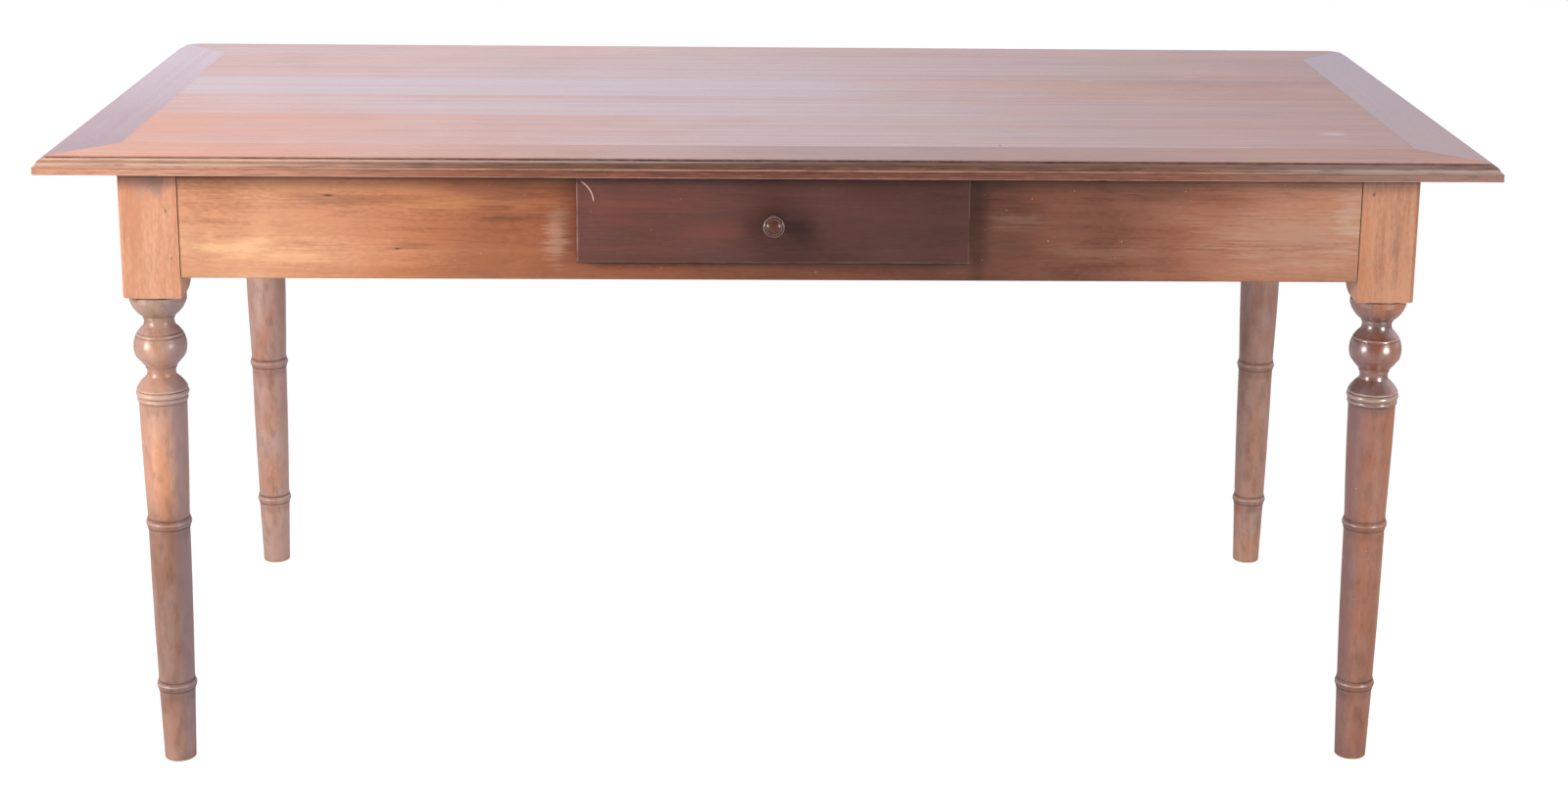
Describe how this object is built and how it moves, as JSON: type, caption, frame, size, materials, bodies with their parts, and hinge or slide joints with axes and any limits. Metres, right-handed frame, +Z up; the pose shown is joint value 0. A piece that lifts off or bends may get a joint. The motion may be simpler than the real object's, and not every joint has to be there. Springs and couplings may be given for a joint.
{
  "type": "kitchen table",
  "caption": "Long farmhouse kitchen table: framed board top with a moulded edge, turned tapering legs pegged to deep aprons, and a drawer with a lipped front and turned knob.",
  "frame": {"origin": "on the floor, under the middle of the top", "axes": "+Z up; +X along the length of the table; the drawer opens towards -Y"},
  "size_m": [1.684, 0.8569, 0.759],
  "materials": {
    "top_wood": "old waxed polish, worn",
    "leg_wood": "old waxed polish, worn",
    "apron_wood": "old waxed polish, worn",
    "drawer_front_wood": "dark stained and polished, worn",
    "knob_wood": "turned, dark polished",
    "inner_wood": "bare planed wood, aged",
    "peg_wood": "end grain, polished over",
    "screw_steel": "old bright steel, dulled"
  },
  "bodies": {
    "table": {"top_rail_front": "top_wood", "top_rail_back": "top_wood", "top_rail_left": "top_wood", "top_rail_right": "top_wood", "mitre_splines": "inner_wood", "top_board_front": "top_wood", "top_board_inner_front": "top_wood", "top_board_inner_back": "top_wood", "top_board_back": "top_wood", "leg_front_left": "leg_wood", "leg_front_right": "leg_wood", "leg_back_left": "leg_wood", "leg_back_right": "leg_wood", "apron_front": "apron_wood", "apron_back": "apron_wood", "apron_left": "apron_wood", "apron_right": "apron_wood", "tenon_pegs": "peg_wood", "top_buttons": "inner_wood", "wood_screws": "screw_steel", "drawer_runner_left": "inner_wood", "drawer_runner_right": "inner_wood", "drawer_kicker_left": "inner_wood", "drawer_kicker_right": "inner_wood"},
    "drawer": {"drawer_front": "drawer_front_wood", "drawer_side_left": "inner_wood", "drawer_side_right": "inner_wood", "drawer_back": "inner_wood", "drawer_bottom": "inner_wood", "drawer_knob": "knob_wood"}
  },
  "joints": [
    {"name": "drawer_slide", "type": "slide", "parent": "table", "child": "drawer", "axis": [0, -1, 0], "range_m": [0, 0.38]}
  ]
}
